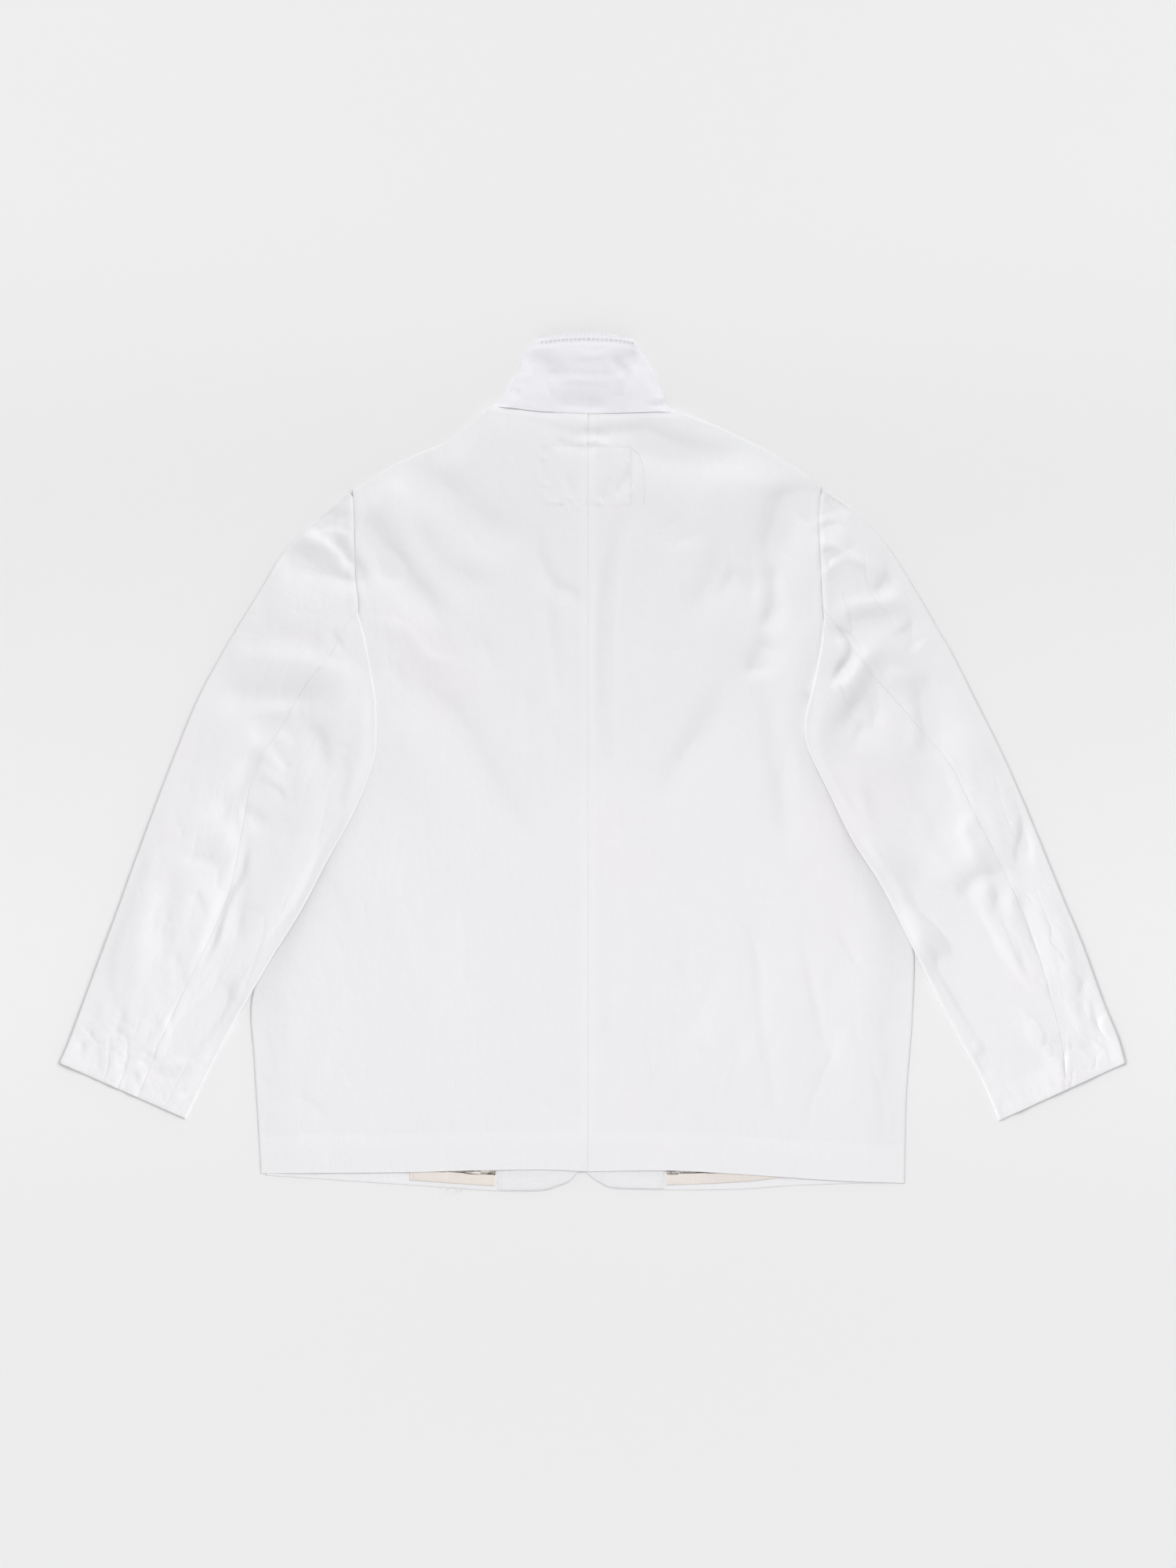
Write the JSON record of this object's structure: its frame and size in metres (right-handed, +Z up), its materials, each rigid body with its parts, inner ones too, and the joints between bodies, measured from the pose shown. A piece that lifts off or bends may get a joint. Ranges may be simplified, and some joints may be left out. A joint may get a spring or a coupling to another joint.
{
  "type": "suit jacket",
  "caption": "Unlined suit jacket laid flat on its fronts, back up, with its sleeves beside it and its collar turned up.",
  "frame": {"origin": "middle of the garment's box in plan, on the surface that it lies on", "axes": "+X across the garment towards its right side as seen from above with the collar up, which runs along the longest extent, +Y from hem to collar, +Z up out of the surface, along the shortest extent"},
  "size_m": [1.087, 0.8762, 0.0192],
  "materials": {
    "jacket_cotton": "matte white cotton",
    "collar_cotton": "matte white cotton, two layers deep",
    "facing_cotton": "matte white cotton facing",
    "pocketing": "matte beige pocket cloth"
  },
  "bodies": {
    "root": {"back_left": "jacket_cotton", "back_right": "jacket_cotton", "front_left": "jacket_cotton", "front_right": "jacket_cotton", "facing_left": "facing_cotton", "facing_right": "facing_cotton", "pocket_bag_left": "pocketing", "pocket_bag_right": "pocketing", "sleeve_left_top": "jacket_cotton", "sleeve_left_under": "jacket_cotton", "sleeve_right_top": "jacket_cotton", "sleeve_right_under": "jacket_cotton", "collar_under": "collar_cotton", "collar_top": "collar_cotton"}
  },
  "joints": []
}
